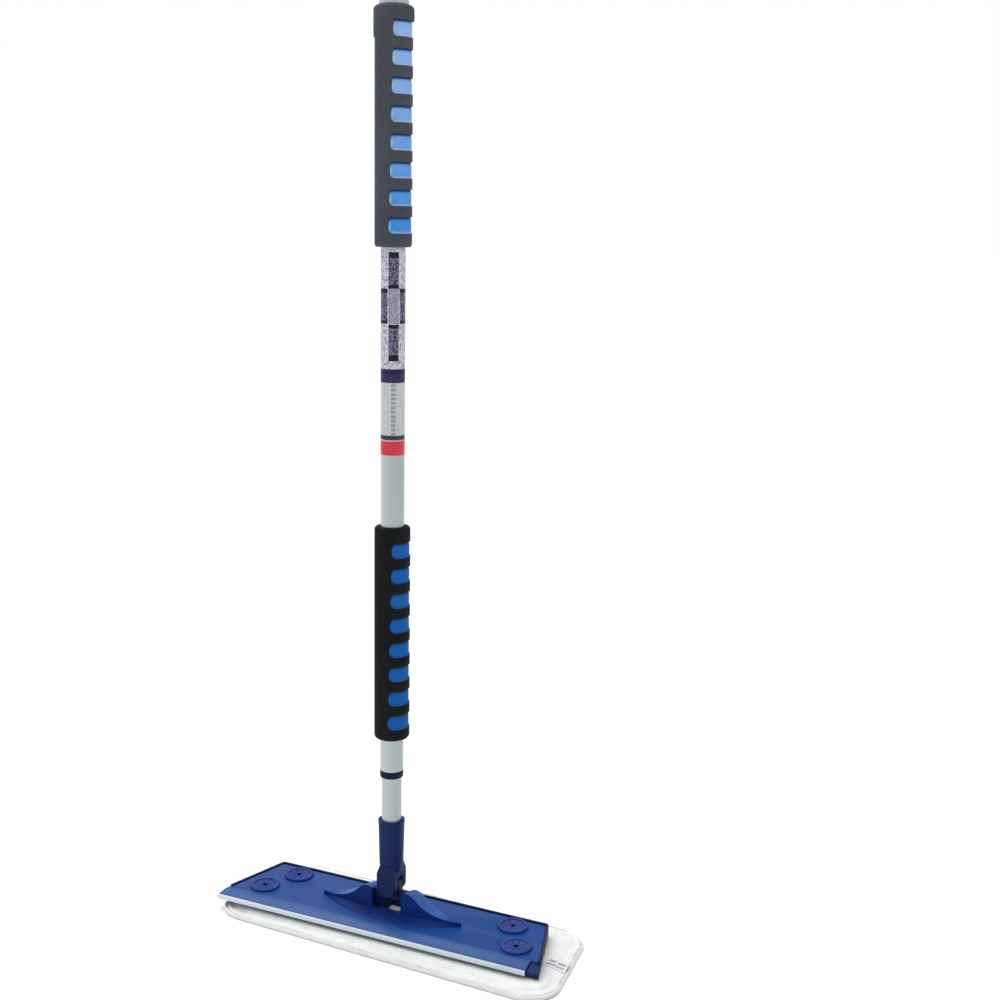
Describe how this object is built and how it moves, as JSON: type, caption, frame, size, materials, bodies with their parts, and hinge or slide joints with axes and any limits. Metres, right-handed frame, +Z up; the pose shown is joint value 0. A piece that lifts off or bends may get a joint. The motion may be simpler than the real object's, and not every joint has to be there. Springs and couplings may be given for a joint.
{
  "type": "flat mop",
  "caption": "Flat mop with a twist-lock telescopic handle, two soft grips, a two-way tilting joint, a trapezoid head plate with cloth grippers and a hook-and-loop pad.",
  "frame": {"origin": "on the floor under the handle's axis, at the underside of the pad", "axes": "+X along the head plate towards the bumper's square-cut end, +Y to the back of the plate, +Z up the handle"},
  "size_m": [0.4197, 0.1655, 0.992],
  "materials": {
    "tube_aluminium": "clear anodised, finely drawn along its length",
    "joint_navy": "moulded nylon, fine spark texture",
    "base_blue": "moulded polypropylene, satin",
    "plate_blue": "moulded polypropylene, satin",
    "bumper_blue": "extruded soft plastic, satin",
    "lip_white": "extruded soft plastic, satin",
    "gripper_navy": "moulded thermoplastic rubber",
    "grip_dark": "soft moulded rubber, matt",
    "grip_blue": "soft moulded rubber, matt",
    "pin_steel": "zinc plated",
    "hook_nylon": "woven hook tape",
    "pad_fleece": "knitted microfibre",
    "pad_foam": "open-cell foam",
    "pad_edge": "woven binding tape",
    "tag_print": "woven tape with plain grey bars",
    "label_film": "printed film, navy blocks, no lettering",
    "marker_red": "printed film, plain",
    "cap_grey": "moulded, satin",
    "lock_plastic": "moulded acetal"
  },
  "bodies": {
    "upper_handle": {"outer_tube": "tube_aluminium", "tube_collar": "joint_navy", "lower_grip_core": "grip_blue", "lower_grip_skin": "grip_dark", "upper_grip_core": "grip_blue", "upper_grip_skin": "grip_dark", "handle_label": "label_film", "marker_band": "marker_red", "top_cap": "cap_grey"},
    "guide": {"guide_bush": "lock_plastic"},
    "shaft": {"inner_tube": "tube_aluminium", "lock_plug": "lock_plastic", "lock_cam": "lock_plastic", "lock_screw": "pin_steel", "handle_socket": "joint_navy", "socket_rivet": "pin_steel", "upper_pin": "pin_steel", "pin_caps": "joint_navy"},
    "cross": {"cross_block": "joint_navy"},
    "head": {"head_plate": "plate_blue", "front_bumper": "bumper_blue", "bumper_lip": "lip_white", "cloth_gripper_front_left": "gripper_navy", "cloth_gripper_back_left": "gripper_navy", "cloth_gripper_back_right": "gripper_navy", "cloth_gripper_front_right": "gripper_navy", "hook_strip_front": "hook_nylon", "hook_strip_back": "hook_nylon", "pivot_base": "base_blue", "pin_strap": "pin_steel", "pin_keeper_left": "joint_navy", "pin_keeper_right": "joint_navy", "base_screws": "pin_steel", "lower_pin": "pin_steel"},
    "pad": {"pad_pile": "pad_fleece", "pad_core": "pad_foam", "pad_backing": "pad_fleece", "pad_binding": "pad_edge", "pad_tag": "tag_print"}
  },
  "joints": [
    {"name": "pad_release", "type": "slide", "parent": "pad", "child": "head", "axis": [0, 0, 1], "range_m": [0, 0.15]},
    {"name": "front_back_tilt", "type": "hinge", "parent": "head", "child": "cross", "pos_m": [0, 0, 0.0385], "axis": [1, 0, 0], "range_deg": [-85, 85]},
    {"name": "side_tilt", "type": "hinge", "parent": "cross", "child": "shaft", "pos_m": [0, 0, 0.052], "axis": [0, 1, 0], "range_deg": [-55, 55]},
    {"name": "lock_twist", "type": "hinge", "parent": "shaft", "child": "guide", "pos_m": [0, 0, 0.9], "axis": [0, 0, 1], "range_deg": [0, 180]},
    {"name": "handle_extension", "type": "slide", "parent": "guide", "child": "upper_handle", "axis": [0, 0, 1], "range_m": [-0.04, 0.6]}
  ]
}
